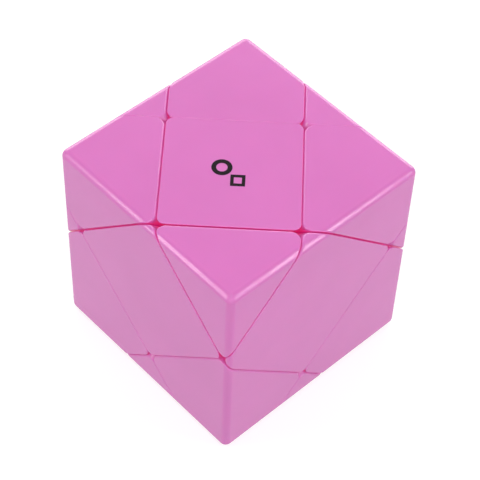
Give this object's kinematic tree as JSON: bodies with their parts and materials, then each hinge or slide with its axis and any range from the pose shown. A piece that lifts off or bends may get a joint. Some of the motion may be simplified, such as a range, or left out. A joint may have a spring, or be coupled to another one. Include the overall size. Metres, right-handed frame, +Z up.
{
  "type": "corner-turning puzzle cube",
  "caption": "Cube-shaped corner-turning puzzle. Its diagonal planar cuts meet off centre on a ball mechanism, so every piece of the one-colour cube has its own shape.",
  "frame": {"origin": "centre of the cube's bottom face, which is the centre of the bottom of its bounding box", "axes": "+Z up through the top face, -Y out of the front face, +X out of the right face"},
  "size_m": [0.058, 0.058, 0.058],
  "materials": {
    "shell_plastic": "satin",
    "foot_plastic": "satin",
    "core_plastic": "satin",
    "screw_steel": "zinc plated",
    "washer_steel": "plain",
    "spring_steel": "drawn wire"
  },
  "bodies": {
    "core": {"core_ball": "core_plastic", "tension_screw_front_right_top": "screw_steel", "tension_screw_back_left_top": "screw_steel", "tension_screw_front_left_bottom": "screw_steel", "tension_screw_back_right_bottom": "screw_steel", "spring_washer_front_right_top": "washer_steel", "spring_washer_back_left_top": "washer_steel", "spring_washer_front_left_bottom": "washer_steel", "spring_washer_back_right_bottom": "washer_steel"},
    "turn_front_right_top": {"tension_spring_front_right_top": "spring_steel"},
    "corner_front_right_top": {"corner_hub_front_right_top": "foot_plastic", "corner_cap_front_right_top": "shell_plastic"},
    "turn_back_left_top": {"tension_spring_back_left_top": "spring_steel"},
    "corner_back_left_top": {"corner_hub_back_left_top": "foot_plastic", "corner_cap_back_left_top": "shell_plastic"},
    "turn_front_left_bottom": {"tension_spring_front_left_bottom": "spring_steel"},
    "corner_front_left_bottom": {"corner_hub_front_left_bottom": "foot_plastic", "corner_cap_front_left_bottom": "shell_plastic"},
    "turn_back_right_bottom": {"tension_spring_back_right_bottom": "spring_steel"},
    "corner_back_right_bottom": {"corner_hub_back_right_bottom": "foot_plastic", "corner_cap_back_right_bottom": "shell_plastic"},
    "centre_top": {"centre_cap_top": "shell_plastic", "centre_foot_top": "foot_plastic"},
    "centre_front": {"centre_cap_front": "shell_plastic", "centre_foot_front": "foot_plastic"},
    "centre_right": {"centre_cap_right": "shell_plastic", "centre_foot_right": "foot_plastic"},
    "centre_left": {"centre_cap_left": "shell_plastic", "centre_foot_left": "foot_plastic"},
    "centre_back": {"centre_cap_back": "shell_plastic", "centre_foot_back": "foot_plastic"},
    "centre_bottom": {"centre_cap_bottom": "shell_plastic", "centre_foot_bottom": "foot_plastic"},
    "corner_front_left_top": {"corner_cap_front_left_top": "shell_plastic", "corner_foot_front_left_top": "foot_plastic"},
    "corner_back_right_top": {"corner_cap_back_right_top": "shell_plastic", "corner_foot_back_right_top": "foot_plastic"},
    "corner_front_right_bottom": {"corner_cap_front_right_bottom": "shell_plastic", "corner_foot_front_right_bottom": "foot_plastic"},
    "corner_back_left_bottom": {"corner_cap_back_left_bottom": "shell_plastic", "corner_foot_back_left_bottom": "foot_plastic"}
  },
  "joints": [
    {"name": "turn_front_right_top", "type": "hinge", "parent": "core", "child": "turn_front_right_top", "pos_m": [0.002, -0.004, 0.035], "axis": [0.5774, -0.5774, 0.5774], "continuous": true},
    {"name": "lift_front_right_top", "type": "slide", "parent": "turn_front_right_top", "child": "corner_front_right_top", "axis": [0.5774, -0.5774, 0.5774], "range_m": [0, 0.0012], "stiffness_N_per_m": 1500, "springref_m": -0.0005, "deforming": ["tension_spring_front_right_top"]},
    {"name": "turn_back_left_top", "type": "hinge", "parent": "core", "child": "turn_back_left_top", "pos_m": [0.002, -0.004, 0.035], "axis": [-0.5774, 0.5774, 0.5774], "range_deg": [-360, 360]},
    {"name": "lift_back_left_top", "type": "slide", "parent": "turn_back_left_top", "child": "corner_back_left_top", "axis": [-0.5774, 0.5774, 0.5774], "range_m": [0, 0.0012], "stiffness_N_per_m": 1500, "springref_m": -0.0005, "deforming": ["tension_spring_back_left_top"]},
    {"name": "turn_front_left_bottom", "type": "hinge", "parent": "core", "child": "turn_front_left_bottom", "pos_m": [0.002, -0.004, 0.035], "axis": [-0.5774, -0.5774, -0.5774], "range_deg": [-360, 360]},
    {"name": "lift_front_left_bottom", "type": "slide", "parent": "turn_front_left_bottom", "child": "corner_front_left_bottom", "axis": [-0.5774, -0.5774, -0.5774], "range_m": [0, 0.0012], "stiffness_N_per_m": 1500, "springref_m": -0.0005, "deforming": ["tension_spring_front_left_bottom"]},
    {"name": "turn_back_right_bottom", "type": "hinge", "parent": "core", "child": "turn_back_right_bottom", "pos_m": [0.002, -0.004, 0.035], "axis": [0.5774, 0.5774, -0.5774], "range_deg": [-360, 360]},
    {"name": "lift_back_right_bottom", "type": "slide", "parent": "turn_back_right_bottom", "child": "corner_back_right_bottom", "axis": [0.5774, 0.5774, -0.5774], "range_m": [0, 0.0012], "stiffness_N_per_m": 1500, "springref_m": -0.0005, "deforming": ["tension_spring_back_right_bottom"]},
    {"name": "centre_top_with_back_left_top", "type": "hinge", "parent": "turn_front_right_top", "child": "centre_top", "pos_m": [0.002, -0.004, 0.035], "axis": [-0.5774, 0.5774, 0.5774], "range_deg": [-360, 360]},
    {"name": "centre_front_with_front_left_bottom", "type": "hinge", "parent": "turn_front_right_top", "child": "centre_front", "pos_m": [0.002, -0.004, 0.035], "axis": [-0.5774, -0.5774, -0.5774], "range_deg": [-360, 360]},
    {"name": "centre_right_with_back_right_bottom", "type": "hinge", "parent": "turn_front_right_top", "child": "centre_right", "pos_m": [0.002, -0.004, 0.035], "axis": [0.5774, 0.5774, -0.5774], "range_deg": [-360, 360]},
    {"name": "centre_left_with_front_left_bottom", "type": "hinge", "parent": "turn_back_left_top", "child": "centre_left", "pos_m": [0.002, -0.004, 0.035], "axis": [-0.5774, -0.5774, -0.5774], "range_deg": [-360, 360]},
    {"name": "centre_back_with_back_right_bottom", "type": "hinge", "parent": "turn_back_left_top", "child": "centre_back", "pos_m": [0.002, -0.004, 0.035], "axis": [0.5774, 0.5774, -0.5774], "range_deg": [-360, 360]},
    {"name": "centre_bottom_with_back_right_bottom", "type": "hinge", "parent": "turn_front_left_bottom", "child": "centre_bottom", "pos_m": [0.002, -0.004, 0.035], "axis": [0.5774, 0.5774, -0.5774], "range_deg": [-360, 360]},
    {"name": "corner_front_left_top_with_front_left_bottom", "type": "hinge", "parent": "centre_top", "child": "corner_front_left_top", "pos_m": [0.002, -0.004, 0.035], "axis": [-0.5774, -0.5774, -0.5774], "range_deg": [-360, 360]},
    {"name": "corner_back_right_top_with_back_right_bottom", "type": "hinge", "parent": "centre_top", "child": "corner_back_right_top", "pos_m": [0.002, -0.004, 0.035], "axis": [0.5774, 0.5774, -0.5774], "range_deg": [-360, 360]},
    {"name": "corner_front_right_bottom_with_back_right_bottom", "type": "hinge", "parent": "centre_front", "child": "corner_front_right_bottom", "pos_m": [0.002, -0.004, 0.035], "axis": [0.5774, 0.5774, -0.5774], "range_deg": [-360, 360]},
    {"name": "corner_back_left_bottom_with_back_right_bottom", "type": "hinge", "parent": "centre_left", "child": "corner_back_left_bottom", "pos_m": [0.002, -0.004, 0.035], "axis": [0.5774, 0.5774, -0.5774], "range_deg": [-360, 360]}
  ],
  "couplings": [
    {"joint": "centre_top_with_back_left_top", "follows": "turn_back_left_top", "ratio": 1},
    {"joint": "centre_front_with_front_left_bottom", "follows": "turn_front_left_bottom", "ratio": 1},
    {"joint": "centre_right_with_back_right_bottom", "follows": "turn_back_right_bottom", "ratio": 1},
    {"joint": "centre_left_with_front_left_bottom", "follows": "turn_front_left_bottom", "ratio": 1},
    {"joint": "centre_back_with_back_right_bottom", "follows": "turn_back_right_bottom", "ratio": 1},
    {"joint": "centre_bottom_with_back_right_bottom", "follows": "turn_back_right_bottom", "ratio": 1},
    {"joint": "corner_front_left_top_with_front_left_bottom", "follows": "turn_front_left_bottom", "ratio": 1},
    {"joint": "corner_back_right_top_with_back_right_bottom", "follows": "turn_back_right_bottom", "ratio": 1},
    {"joint": "corner_front_right_bottom_with_back_right_bottom", "follows": "turn_back_right_bottom", "ratio": 1},
    {"joint": "corner_back_left_bottom_with_back_right_bottom", "follows": "turn_back_right_bottom", "ratio": 1}
  ]
}
